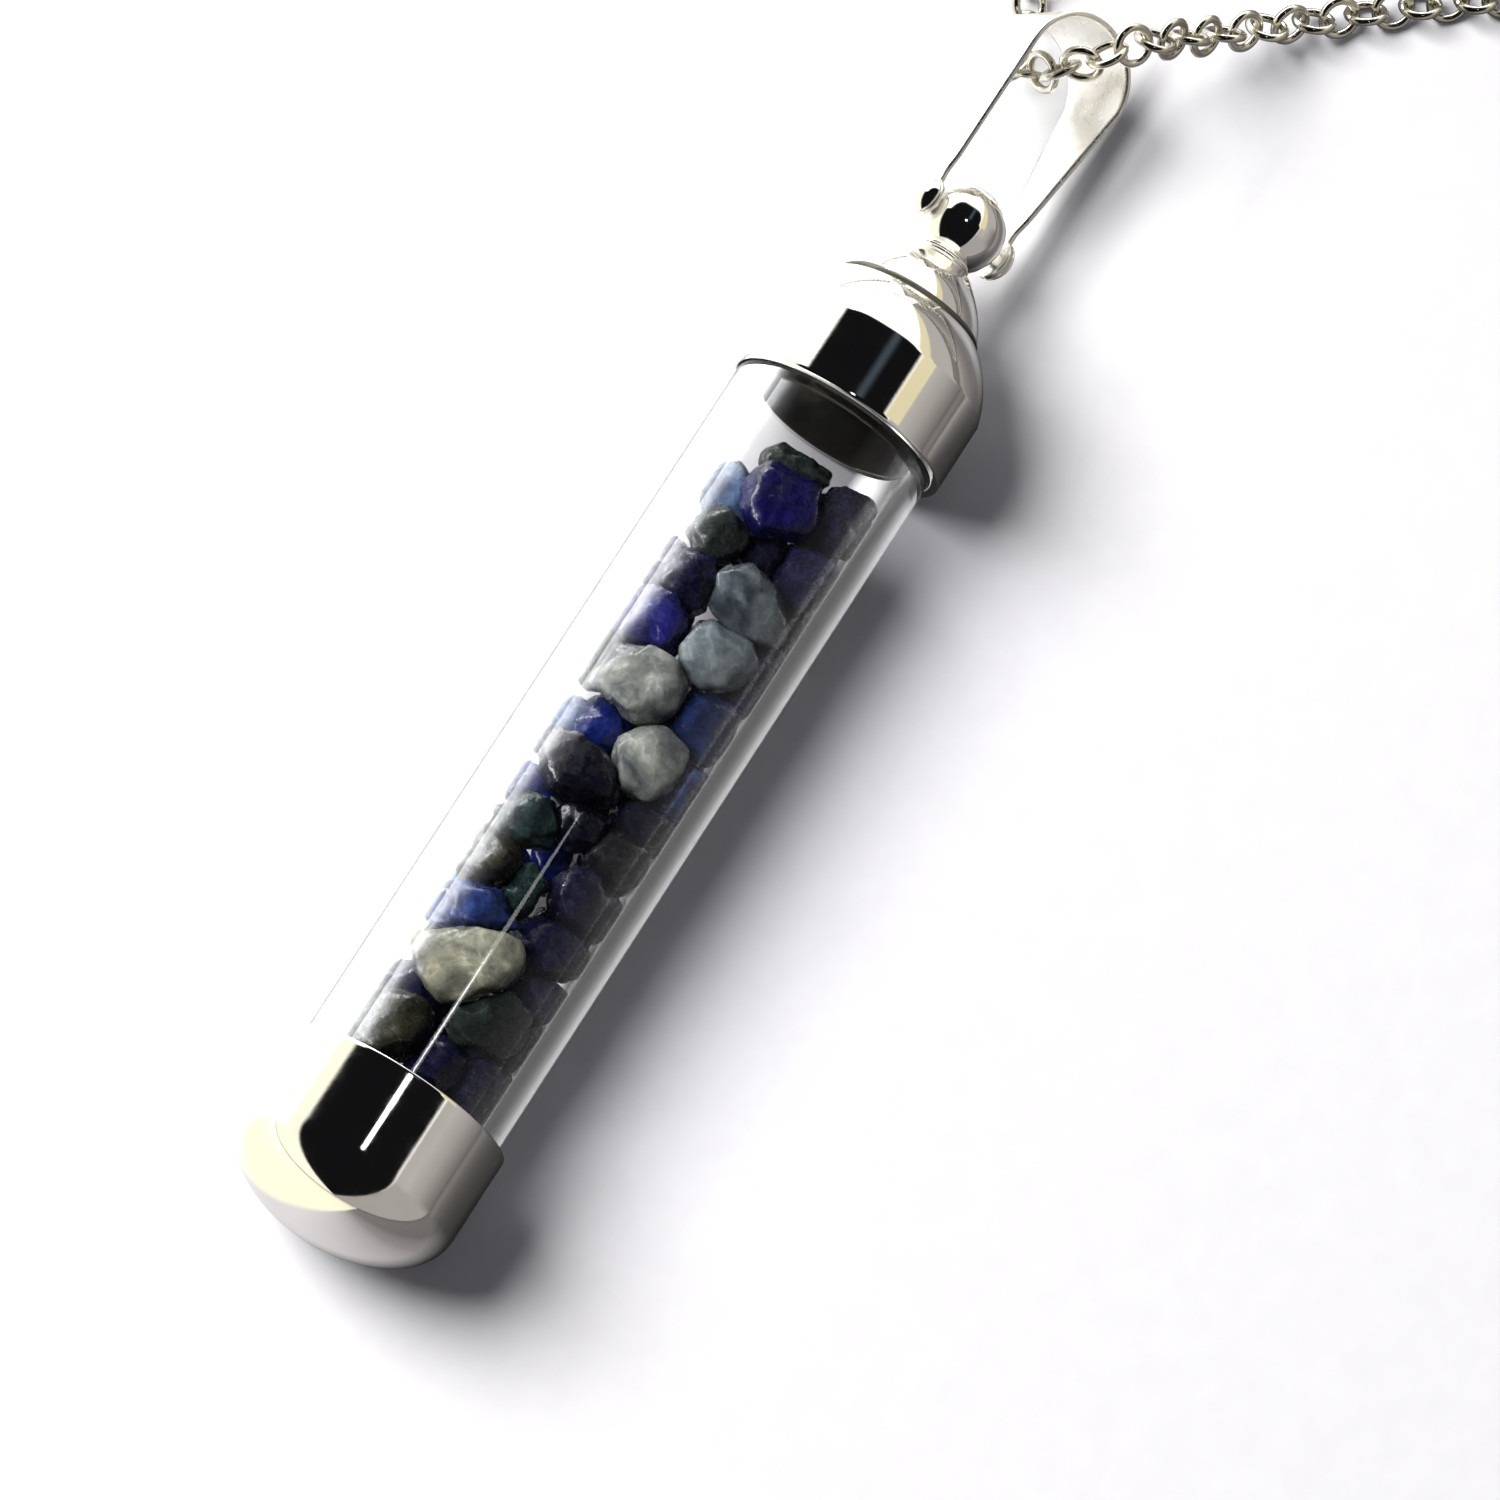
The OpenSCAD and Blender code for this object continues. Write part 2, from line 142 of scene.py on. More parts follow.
# Materials
class Nodes:
    """Adds and links the nodes of one node tree."""

    def __init__(self, tree):
        self.tree = tree

    def add(self, kind, **values):
        """Adds a node; each value goes to the input or the setting of that name."""
        node = self.tree.nodes.new(kind)
        for key, value in values.items():
            if key in node.inputs:
                node.inputs[key].default_value = value
            else:
                setattr(node, key, value)
        return node

    def link(self, a, b):
        self.tree.links.new(a, b)

    def put(self, value, socket):
        """Gives an input a linked output, a colour or a number."""
        if isinstance(value, bpy.types.NodeSocket):
            self.link(value, socket)
        elif isinstance(value, tuple):
            socket.default_value = (*value, 1.0)
        else:
            socket.default_value = value

    def math(self, kind, *inputs, clamp=False):
        node = self.add("ShaderNodeMath", operation=kind, use_clamp=clamp)
        for socket, value in zip(node.inputs, inputs):
            self.put(value, socket)
        return node.outputs[0]

    def rest(self, value):
        """What is left of one."""
        return self.math("SUBTRACT", 1.0, value)

    def span(self, value, start, end, low=0.0, high=1.0, smooth=False):
        """Takes a value from start to end over to low to high, and holds it there."""
        node = self.add("ShaderNodeMapRange", interpolation_type="SMOOTHSTEP" if smooth else "LINEAR")
        for key, number in (("From Min", start), ("From Max", end), ("To Min", low), ("To Max", high)):
            node.inputs[key].default_value = number
        self.link(value, node.inputs["Value"])
        return node.outputs["Result"]

    def step(self, value, start, end):
        """Rises smoothly from 0 to 1."""
        return self.span(value, start, end, smooth=True)

    def ramp(self, value, stops):
        """Colour ramp; the tone of a stop is a colour or one number for a grey."""
        node = self.add("ShaderNodeValToRGB")
        while len(node.color_ramp.elements) < len(stops):
            node.color_ramp.elements.new(0.5)
        for element, (at, tone) in zip(node.color_ramp.elements, stops):
            element.position = at
            element.color = (*tone, 1.0) if isinstance(tone, tuple) else (tone, tone, tone, 1.0)
        self.link(value, node.inputs["Fac"])
        return node.outputs["Color"]

    def blend(self, kind, a, b, factor):
        node = self.add("ShaderNodeMix", data_type="RGBA", blend_type=kind)
        for key, value in (("Factor", factor), ("A", a), ("B", b)):
            self.put(value, node.inputs[key])
        return node.outputs["Result"]

    def mix(self, a, b, factor):
        return self.blend("MIX", a, b, factor)

    def light_path(self):
        return self.add("ShaderNodeLightPath").outputs

    def axes(self, place):
        """The three coordinates of a place."""
        parts = self.add("ShaderNodeSeparateXYZ")
        self.link(place, parts.inputs[0])
        return parts.outputs


class Surface(Nodes):
    """One material: its main shader and the nodes that feed it."""

    def __init__(self, name):
        self.material = bpy.data.materials.new(name)
        self.material.use_nodes = True
        super().__init__(self.material.node_tree)
        self.shader = self.tree.nodes["Principled BSDF"]
        self.place = self.add("ShaderNodeTexCoord").outputs["Object"]

    def noise(self, scale, detail=4.0, rough=0.6, warp=0.0):
        node = self.add("ShaderNodeTexNoise", Scale=scale, Detail=detail, Roughness=rough, Distortion=warp)
        self.link(self.place, node.inputs["Vector"])
        return node.outputs["Fac"]

    def grey(self, value, low, high):
        """Takes a noise over to a range of numbers."""
        return self.span(value, NOISE_LOW, NOISE_HIGH, low, high)

    def feed(self, value, name):
        self.link(value, self.shader.inputs[name])

    def bump(self, height, strength, distance):
        node = self.add("ShaderNodeBump", Strength=strength, Distance=distance)
        self.link(height, node.inputs["Height"])
        self.feed(node.outputs["Normal"], "Normal")

    def set(self, **values):
        for key, value in values.items():
            self.shader.inputs[key.replace("_", " ")].default_value = value


def silver(name, colour, dull, low, high, metallic=1.0):
    """Silver with faint cloudy wear and fine grain; low and high are its roughness."""
    n = Surface(name)
    n.set(Metallic=metallic)
    n.feed(n.ramp(n.noise(scale=260.0), [(0.3, dull), (0.7, colour)]), "Base Color")
    n.feed(n.grey(n.noise(scale=900.0, detail=6.0), low, high), "Roughness")
    n.bump(n.noise(scale=5200.0, detail=2.0), strength=0.03, distance=0.00002)
    return n.material


def clear_glass():
    """Clear glass that lets light through to the stones without a dark shadow."""
    n = Surface("clear_glass")
    n.set(Roughness=0.0, IOR=1.47, Transmission_Weight=1.0, Base_Color=(0.985, 0.99, 0.99, 1.0))
    clear = n.add("ShaderNodeBsdfTransparent")
    mix = n.add("ShaderNodeMixShader")
    ray = n.light_path()
    # Light loses more at the faces that it meets after the first one
    later = n.span(ray["Transparent Depth"], 1.0, 2.0)
    n.link(n.mix((0.88, 0.88, 0.89), (0.80, 0.80, 0.81), later), clear.inputs["Color"])
    n.link(ray["Is Shadow Ray"], mix.inputs[0])
    n.link(n.shader.outputs[0], mix.inputs[1])
    n.link(clear.outputs[0], mix.inputs[2])
    n.link(mix.outputs[0], n.tree.nodes["Material Output"].inputs["Surface"])
    return n.material


def stone_stuff():
    """Gem chips: each chip's colour and clearness come from its own colour attribute."""
    n = Surface("gem_chips")
    chip = n.add("ShaderNodeVertexColor", layer_name="tint")
    tint, clearness = chip.outputs["Color"], chip.outputs["Alpha"]
    cloud = n.noise(scale=420.0, detail=5.0, rough=0.55, warp=0.9)
    clouds = n.ramp(cloud, [(0.34, (0.35, 0.35, 0.42)), (0.5, 0.95), (0.66, (1.9, 1.85, 1.75))])
    grain = n.noise(scale=2600.0, detail=5.0, rough=0.6)
    grains = n.ramp(grain, [(0.35, (0.92, 0.92, 0.93)), (0.7, (1.1, 1.1, 1.09))])
    shaded = n.blend("MULTIPLY", n.blend("MULTIPLY", tint, clouds, 1.0), grains, 1.0)
    vein = n.ramp(n.noise(scale=300.0, detail=6.0, warp=1.4), [(0.47, 0.0), (0.5, 0.45), (0.53, 0.0)])
    light = n.blend("ADD", n.blend("MULTIPLY", shaded, (2.2, 2.2, 2.2), 1.0), (0.015, 0.016, 0.018), 1.0)
    n.feed(n.mix(shaded, light, vein), "Base Color")
    n.feed(n.grey(grain, 0.12, 0.42), "Roughness")
    n.feed(n.span(clearness, 0.0, 1.0, 0.0, 0.55), "Transmission Weight")
    n.set(IOR=1.55, Subsurface_Weight=0.2, Subsurface_Radius=(0.5, 0.5, 0.6), Subsurface_Scale=0.0008)
    # Clear chips are smoother than rough ones
    smoother = n.span(clearness, 0.1, 0.3, 1.0, 0.35)
    pits = n.math("MULTIPLY", n.noise(scale=1500.0, detail=7.0, rough=0.6), smoother)
    n.bump(pits, strength=0.5, distance=0.00014)
    return n.material


SILVER = silver("polished_silver", (0.95, 0.94, 0.91), (0.90, 0.89, 0.86), 0.03, 0.08)
CHAIN_SILVER = silver("chain_silver", (0.74, 0.71, 0.63), (0.46, 0.44, 0.37), 0.10, 0.22)
BAIL_SILVER = silver("bail_silver", (0.93, 0.92, 0.88), (0.86, 0.84, 0.79), 0.24, 0.34)
# A dark metal that paints the shade inside the caps and on the crown's rim
PAINTED_SHADE = silver("cap_inside_shade", (0.15, 0.142, 0.12), (0.09, 0.084, 0.068), 0.28, 0.40, metallic=0.8)
GLASS = clear_glass()
STONES = stone_stuff()


# Mesh helpers
def keep(name, mesh, material, body, slot, *nodes):
    """Turns a mesh into a piece that rides a body and stands for CAD nodes."""
    for polygon in mesh.polygons:
        polygon.use_smooth = True
    mesh.materials.append(material)
    piece = bpy.data.objects.new(name, mesh)
    bpy.context.scene.collection.objects.link(piece)
    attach(piece, body)
    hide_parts(*nodes)
    return piece


def to_mesh(bm, name, place=Matrix.Identity(4)):
    """Puts a bmesh in millimetres in its place and turns it into a mesh in metres."""
    bmesh.ops.recalc_face_normals(bm, faces=bm.faces)
    mesh = bpy.data.meshes.new(name)
    bm.to_mesh(mesh)
    bm.free()
    mesh.transform(Matrix.Scale(MM, 4) @ place)
    return mesh


def turn(degrees, axis):
    """A rotation about one of the frame's axes."""
    return Matrix.Rotation(math.radians(degrees), 4, axis)


def spaced(points, step=0.2):
    """Adds points along the straight spans of a profile, so that smooth shading keeps them straight."""
    out = []
    for a, b in zip(points, points[1:]):
        count = max(1, math.ceil(math.dist(a, b) / step))
        for k in range(count):
            out.append((a[0] + (b[0] - a[0]) * k / count, a[1] + (b[1] - a[1]) * k / count))
    return out + [points[-1]]


def arc(centre, radius, start, end, steps=5):
    """Points of an arc in a profile; angles in degrees."""
    angles = [math.radians(start + (end - start) * k / steps) for k in range(steps + 1)]
    return [(centre[0] + radius * math.cos(a), centre[1] + radius * math.sin(a)) for a in angles]


def lathe(bm, profile, segments=144, closed=False):
    """Turns a profile of (height, radius) about the Z axis."""
    on_axis = 1e-6  # A smaller radius makes a single point
    rings = []
    for height, radius in profile:
        if radius < on_axis:
            rings.append([bm.verts.new((0.0, 0.0, height))])
            continue
        angles = [2 * math.pi * k / segments for k in range(segments)]
        rings.append([bm.verts.new((radius * math.cos(a), radius * math.sin(a), height)) for a in angles])
    pairs = list(zip(rings, rings[1:]))
    if closed:
        pairs.append((rings[-1], rings[0]))
    for low, high in pairs:
        for k in range(segments):
            below = [low[k % len(low)], low[(k + 1) % len(low)]]
            above = [high[(k + 1) % len(high)], high[k % len(high)]]
            corners = list(dict.fromkeys(below + above))
            if len(corners) > 2:
                bm.faces.new(corners)
    return bm


# The pendant's own axis runs along +X from the top cap's mouth
ON_AXIS = Matrix.Translation((MOUTH_X, AXIS_Y, AXIS_Z)) @ turn(90, "Y")
# The pin along X, the bail's width along Y and the pendant's axis along Z
AT_PIN = Matrix.Translation((BALL_X, AXIS_Y, AXIS_Z)) @ turn(PIN_TURN, "X") @ turn(90, "Z") @ turn(90, "X")


# Caps and crown
def dome(radius, skirt, rise, hole, crease, steps=40):
    """Outline of a dome on a straight skirt, from the skirt's end to a hole at the axis."""
    start = math.radians(crease)
    end = math.acos(hole * math.cos(start) / radius)
    out = []
    for k in range(steps + 1):
        a = start + (end - start) * k / steps
        height = skirt + rise * (math.sin(a) - math.sin(start)) / (1 - math.sin(start))
        out.append((height, max(hole, radius * math.cos(a) / math.cos(start))))
    return out if crease else out[1:]


def cap_profile(skirt, rise, hole, crease):
    """Closed outline of a cap: rounded mouth, skirt, dome and the same inside."""
    skirt_end = skirt - 0.02
    outer = spaced([(CAP_EDGE, CAP_R), (skirt_end, CAP_R)], 0.1) + dome(CAP_R, skirt, rise, hole, crease)
    inner = dome(CAP_BORE, skirt, rise - CAP_WALL, hole, crease)[::-1]
    inner += spaced([(skirt_end, CAP_BORE), (CAP_EDGE, CAP_BORE)], 0.1)
    mouth = arc((CAP_EDGE, CAP_BORE + CAP_EDGE), CAP_EDGE, 270, 180)[1:]
    mouth += arc((CAP_EDGE, CAP_R - CAP_EDGE), CAP_EDGE, 180, 90)[:-1]
    return outer + inner + mouth


def cap(name, node, profile, skirt_end):
    """A cap of polished metal; the faces that look into it get a dark metal, painted shade inside it."""
    bm = lathe(bmesh.new(), profile, closed=True)
    piece = keep(name, to_mesh(bm, name, ON_AXIS), SILVER, "vial", "polished_silver", node)
    piece.data.materials.append(PAINTED_SHADE)
    middle = Vector((MOUTH_X + skirt_end, AXIS_Y, AXIS_Z)) * MM
    facing_in = -0.05
    for polygon in piece.data.polygons:
        out = polygon.center - middle
        if polygon.normal.dot(out.normalized()) < facing_in:
            polygon.material_index = 1
    return piece


def caps():
    """The bottom cap, turned round, and the top cap with its hole for the post."""
    bottom = cap_profile(BOTTOM_SKIRT, BOTTOM_DOME, 0.0, 0.0)
    cap("cap_low", "bottom_cap", [(-GLASS_SHOW - z, r) for z, r in bottom], -GLASS_SHOW - BOTTOM_SKIRT)
    top = cap_profile(TOP_SKIRT, TOP_DOME, POST_R + SEAT, TOP_CREASE)
    cap("cap_high", "top_cap", top, TOP_SKIRT)


def crown():
    """The second dome, with a thin rim in dark painted shade."""
    steps = 40
    hole = POST_R + SEAT
    foot = CROWN_RISE + CROWN_GAP

    def side(inset):
        """The bowed side, from above the rounded rim; an inset gives the inner face."""
        out = []
        for k in range(steps + 1):
            f = k / steps
            bow = CROWN_BOW * math.sin(math.pi * f)
            radius = CROWN_R - inset + (CROWN_TOP_R - CROWN_R) * f + bow
            out.append((CROWN_RISE + CROWN_H * f - inset * (f > 0), radius))
        return out[3:]

    rim = arc((foot + CROWN_EDGE, CROWN_R - CROWN_EDGE), CROWN_EDGE, 180, 112, 6)
    inner = [(foot, CROWN_R - CROWN_WALL)] + side(CROWN_WALL)
    profile = rim + side(0.0) + spaced([(CROWN_TOP, CROWN_TOP_R), (CROWN_TOP, hole)])[1:]
    profile += spaced([(CROWN_TOP - CROWN_WALL, hole), inner[-1]]) + inner[::-1]
    piece = cap("crown", "crown_dome", profile, CROWN_RISE)
    # The rounded rim gets the dark painted shade almost up to its full height
    rim_end = (MOUTH_X + foot + 1.9 * CROWN_EDGE) * MM
    for polygon in piece.data.polygons:
        if polygon.center.x < rim_end:
            polygon.material_index = 1


# Ball, glass, bail and pin
def ball():
    """The ball with its hidden post and a collar of two wire rings."""
    steps = 60
    foot = -POST_L
    collar = CROWN_TOP + SEAT - BALL_RISE
    meet = -math.sqrt(BALL_R ** 2 - COLLAR_R ** 2)
    profile = [(foot, 0.0)] + spaced([(foot, POST_R), (collar, POST_R)])
    profile += spaced([(collar, COLLAR_R), (meet, COLLAR_R)])
    start = math.degrees(math.asin(meet / BALL_R))
    for k in range(steps + 1):
        a = math.radians(start + (90 - start) * k / steps)
        profile.append((BALL_R * math.sin(a), max(0.0, BALL_R * math.cos(a))))
    bm = lathe(bmesh.new(), profile, segments=128)
    for radius, rise in COLLAR_RINGS:
        middle = CROWN_TOP + COLLAR_WIRE / 2 + rise - BALL_RISE
        ring = arc((middle, radius - COLLAR_WIRE / 2), COLLAR_WIRE / 2, 0, 360, 20)[:-1]
        lathe(bm, ring, segments=128, closed=True)
    keep("ball", to_mesh(bm, "ball", AT_PIN), SILVER, "vial", "polished_silver", "hanger_ball")


def glass():
    """The tube, with rounded ends inside the caps."""
    edge, step = GLASS_EDGE, 0.4
    low, high = -GLASS_SHOW - GLASS_SEAT, GLASS_SEAT
    profile = spaced([(low + edge, GLASS_R), (high - edge, GLASS_R)], step)
    profile += arc((high - edge, GLASS_R - edge), edge, 90, 0)[1:-1]
    profile += spaced([(high, GLASS_R - edge), (high, BORE_R + edge)], step)[:-1]
    profile += arc((high - edge, BORE_R + edge), edge, 0, -90)
    profile += spaced([(high - edge, BORE_R), (low + edge, BORE_R)], step)[1:-1]
    profile += arc((low + edge, BORE_R + edge), edge, 270, 180)
    profile += spaced([(low, BORE_R + edge), (low, GLASS_R - edge)], step)[1:-1]
    profile += arc((low + edge, GLASS_R - edge), edge, 180, 90)[:-1]
    bm = lathe(bmesh.new(), profile, closed=True)
    keep("glass", to_mesh(bm, "glass", ON_AXIS), GLASS, "vial", "clear_glass", "glass_tube")


def leaf_half(z):
    """Half width of the bail's leaf at a height above the pin."""
    neck_half, neck_z = BAIL_WIDTHS[0]
    if z < math.sqrt(EAR_R ** 2 - neck_half ** 2):
        return math.sqrt(max(0.0, EAR_R ** 2 - z * z))
    if z < neck_z:
        return neck_half
    for (w0, z0), (w1, z1) in zip(BAIL_WIDTHS, BAIL_WIDTHS[1:]):
        if z < z1:
            f = (z - z0) / (z1 - z0)
            return w0 + (w1 - w0) * f
    return BAIL_WIDTHS[-1][0]


def bail_path():
    """Inner point, outer point and half width of the folded sheet, from ear to ear."""
    ear_steps, leg_steps, arch_steps = 14, 60, 60
    arch_low = BAIL_L - ARCH_R
    # Close together round the ear, then evenly up the leg
    heights = [-EAR_R * math.cos(math.pi / 2 * k / ear_steps) for k in range(ear_steps + 1)]
    heights += [EAR_R * 0.9 * k / ear_steps for k in range(1, ear_steps + 1)]
    heights += list(np.linspace(0.93, arch_low, leg_steps))
    lean = ARCH_R - EAR_IN - BAIL_T
    half = []
    for z in heights:
        outer = EAR_IN + BAIL_T + lean * max(0.0, z - LEAN_FROM) / (arch_low - LEAN_FROM)
        half.append(((outer - BAIL_T, z), (outer, z), leaf_half(z)))
    for k in range(1, arch_steps):
        a = math.pi * k / (2 * arch_steps)
        c, s = math.cos(a), math.sin(a)
        inner = ((ARCH_R - BAIL_T) * c, arch_low + (ARCH_R - BAIL_T) * s)
        half.append((inner, (ARCH_R * c, arch_low + ARCH_R * s), leaf_half(arch_low + ARCH_R * s)))
    return half + [((-i[0], i[1]), (-o[0], o[1]), w) for i, o, w in half[::-1]]


def bail():
    """The folded sheet: one closed ring of points at each place of its path."""
    across = [-1 + 2 * k / 24 for k in range(25)]
    bm = bmesh.new()
    rows = []
    for (ix, iz), (ox, oz), width in bail_path():
        flat = width - min(BAIL_EDGE, width * 0.5)
        mx, mz = (ix + ox) / 2, (iz + oz) / 2
        dx, dz = (ox - mx) * 0.5, (oz - mz) * 0.5
        points = [(ox, v * flat, oz) for v in across]
        points += [(mx + dx, width, mz + dz), (mx - dx, width, mz - dz)]
        points += [(ix, -v * flat, iz) for v in across]
        points += [(mx - dx, -width, mz - dz), (mx + dx, -width, mz + dz)]
        rows.append([bm.verts.new(point) for point in points])
    count = len(rows[0])
    for low, high in zip(rows, rows[1:]):
        for k in range(count):
            bm.faces.new([low[k], low[(k + 1) % count], high[(k + 1) % count], high[k]])
    bm.faces.new(rows[0][::-1])
    bm.faces.new(rows[-1])
    mesh = to_mesh(bm, "bail_sheet", AT_PIN @ turn(BAIL_DROP, "X"))
    keep("bail_sheet", mesh, BAIL_SILVER, "necklace", "polished_silver", "bail")


def pin():
    """The cross pin with a domed head on each side."""
    ear_out = EAR_IN + BAIL_T + SEAT
    sphere_r = (HEAD_R ** 2 + HEAD_H ** 2) / (2 * HEAD_H)
    rim = math.degrees(math.asin(HEAD_R / sphere_r))
    head = arc((ear_out + HEAD_H - sphere_r, 0.0), sphere_r, rim, 0, 24)
    head[-1] = (head[-1][0], 0.0)
    half = [(0.0, PIN_R)] + spaced([(0.2, PIN_R), (ear_out, PIN_R), (ear_out, HEAD_R)], 0.1)[:-1] + head
    profile = [(-h, r) for h, r in half[::-1]] + half[1:]
    mesh = to_mesh(lathe(bmesh.new(), profile, segments=64), "pin", AT_PIN @ turn(90, "Y"))
    keep("pin", mesh, SILVER, "necklace", "polished_silver", "bail_pin")


# Chain: separate interlocking links along the two routes
def smooth_route(points, steps=30):
    """A smooth curve through the points."""
    p = np.array(points, float)
    out = []
    for i in range(len(p) - 1):
        a, b, c, d = p[max(i - 1, 0)], p[i], p[i + 1], p[min(i + 2, len(p) - 1)]
        for k in range(steps):
            t = k / steps
            out.append((2 * b + (c - a) * t + (2 * a - 5 * b + 4 * c - d) * t * t
                        + (3 * b - a - 3 * c + d) * t ** 3) / 2)
    out.append(p[-1])
    return np.array(out)


def link_places():
    """Centre, heading and turn of every link, and whether it belongs to the left half."""
    left = smooth_route(LEFT_ROUTE)
    right = smooth_route(RIGHT_ROUTE)[::-1]
    whole = np.vstack([left, right])
    whole[:, 2] -= LINK_DROP * np.clip((DROP_TOP - whole[:, 2]) / DROP_FADE, 0, 1)
    length = np.concatenate([[0], np.cumsum(np.linalg.norm(np.diff(whole, axis=0), axis=1))])
    left_length = length[len(left) - 1]
    count = round(length[-1] / LINK_PITCH)

    def point(at):
        return np.array([np.interp(at, length, whole[:, j]) for j in range(3)])

    places = []
    for k in range(count + 1):
        at = length[-1] * k / count
        ahead, behind = point(at + LINK_LOOK), point(at - LINK_LOOK)
        heading = (ahead - behind) / np.linalg.norm(ahead - behind)
        places.append((point(at), heading, 45 + 90 * (k % 2), at < left_length))
    return places


def add_link(bm, centre, heading, degrees, rng):
    """One round link whose plane holds the heading, turned about it."""
    around, wire = 26, 8
    h = Vector(heading)
    side = Vector((0, 0, 1)).cross(h)
    # A link that stands nearly upright has no level side of its own
    side = side.normalized() if side.length > 0.05 else Vector((0, 1, 0))
    up = h.cross(side)
    a = math.radians(degrees + rng.uniform(-LINK_SWAY, LINK_SWAY))
    across = side * math.cos(a) + up * math.sin(a)
    normal = h.cross(across)
    major, minor = (LINK_D - LINK_WIRE) / 2, LINK_WIRE / 2
    middle = Vector(centre) + Vector((BALL_X, AXIS_Y, 0))
    grid = []
    for i in range(around):
        u = 2 * math.pi * i / around
        out = h * math.cos(u) + across * math.sin(u)
        row = []
        for j in range(wire):
            v = 2 * math.pi * j / wire
            reach = out * (major + minor * math.cos(v))
            row.append(bm.verts.new(middle + reach + normal * minor * math.sin(v)))
        grid.append(row)
    for i in range(around):
        a, b = grid[i], grid[(i + 1) % around]
        for j in range(wire):
            bm.faces.new([a[j], b[j], b[(j + 1) % wire], a[(j + 1) % wire]])


def chain():
    """The links of both halves, left and right."""
    rng = random.Random(CHAIN_SEED)
    halves = {True: bmesh.new(), False: bmesh.new()}
    for centre, heading, degrees, is_left in link_places():
        add_link(halves[is_left], centre, heading, degrees, rng)
    for is_left, name in ((True, "left"), (False, "right")):
        mesh = to_mesh(halves[is_left], "links_" + name)
        keep("links_" + name, mesh, CHAIN_SILVER, "necklace", "chain_silver", "chain_" + name)


def clasp():
    """A plain closed ring with an eye on each side."""
    bm = bmesh.new()

    def torus(centre, diameter, wire, around, sides):
        ring = arc((0, (diameter - wire) / 2), wire / 2, 0, 360, sides)[:-1]
        part = lathe(bmesh.new(), ring, segments=around, closed=True)
        mesh = bpy.data.meshes.new("ring")
        part.to_mesh(mesh)
        part.free()
        mesh.transform(Matrix.Translation(centre))
        bm.from_mesh(mesh)
        bpy.data.meshes.remove(mesh)

    centre = Vector((BALL_X + CLASP_X, AXIS_Y, CLASP_WIRE / 2))
    torus(centre, CLASP_D, CLASP_WIRE, around=96, sides=20)
    for side in (-1, 1):
        offset = Vector((0, side * (CLASP_D / 2 + EYE_D / 2 - EYE_WIRE), 0))
        torus(centre + offset, EYE_D, EYE_WIRE, around=48, sides=16)
    keep("clasp_ring", to_mesh(bm, "clasp_ring"), CHAIN_SILVER, "necklace", "chain_silver", "clasp")


# Stones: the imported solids, one by one, made rounder and given their own surface and colour.
# Each row: distance along the pendant from the top cap's mouth, left, up, colour, kind
STONE_ROWS = [
    (-3.0, 0.2, 0.6, "moss", "rough"), (-5.3, 0.2, 2.2, "violet", "crystal"),
    (-4.2, -2.4, 0.6, "slate", "rough"), (-5.6, 2.1, 0.3, "ice", "crystal"),
    (-7.7, 1.5, 1.8, "moss", "rough"), (-7.2, -2.4, 0.9, "dusk", "smooth"),
    (-7.2, -0.4, 1.0, "slate", "rough"), (-8.9, -3.0, -0.2, "plum", "smooth"),
    (-9.9, -1.0, 2.4, "mist", "crystal"), (-10.4, 1.4, 1.8, "indigo", "rough"),
    (-9.9, 2.8, 0.2, "lilac", "crystal"), (-12.9, 1.7, 1.9, "violet", "rough"),
    (-12.7, -1.1, 2.2, "mist", "smooth"), (-12.3, -3.0, 0.4, "dusk", "smooth"),
    (-15.6, 0.8, 2.3, "pale", "smooth"), (-15.6, -2.3, 1.5, "steel", "smooth"),
    (-14.8, 2.9, 0.1, "moss", "rough"), (-18.0, 1.3, 1.5, "blue", "crystal"),
    (-18.5, -1.1, 2.2, "pale", "smooth"), (-18.7, -2.9, 0.9, "azure", "smooth"),
    (-18.7, 2.7, 0.2, "ice", "crystal"), (-20.6, 0.8, 2.1, "navy", "rough"),
    (-20.9, -2.5, 1.3, "slate", "smooth"), (-22.4, 0.0, 1.9, "navy", "rough"),
    (-22.0, 2.4, 0.9, "blue", "crystal"), (-23.4, 1.4, 1.9, "teal", "rough"),
    (-22.7, -2.3, 1.3, "umber", "smooth"), (-25.2, -2.4, 1.4, "grey", "smooth"),
    (-25.8, 2.0, 1.4, "olive", "rough"), (-26.2, 0.3, 1.8, "teal", "rough"),
    (-28.3, 1.5, 1.9, "steel", "rough"), (-27.8, -2.1, 1.2, "indigo", "crystal"),
    (-30.6, 0.6, 2.3, "cream", "smooth"), (-29.7, -2.7, 0.9, "grey", "smooth"),
    (-32.2, -1.5, 1.9, "moss", "rough"), (-31.6, -3.1, 0.0, "slate", "smooth"),
    (-32.4, 2.2, 0.8, "indigo", "crystal"), (-34.7, 1.8, 1.7, "olive", "rough"),
    (-35.2, -0.7, 1.7, "indigo", "crystal"), (-34.8, -2.6, 0.9, "slate", "rough"),
    (-37.9, 0.3, 1.5, "slate", "rough")]
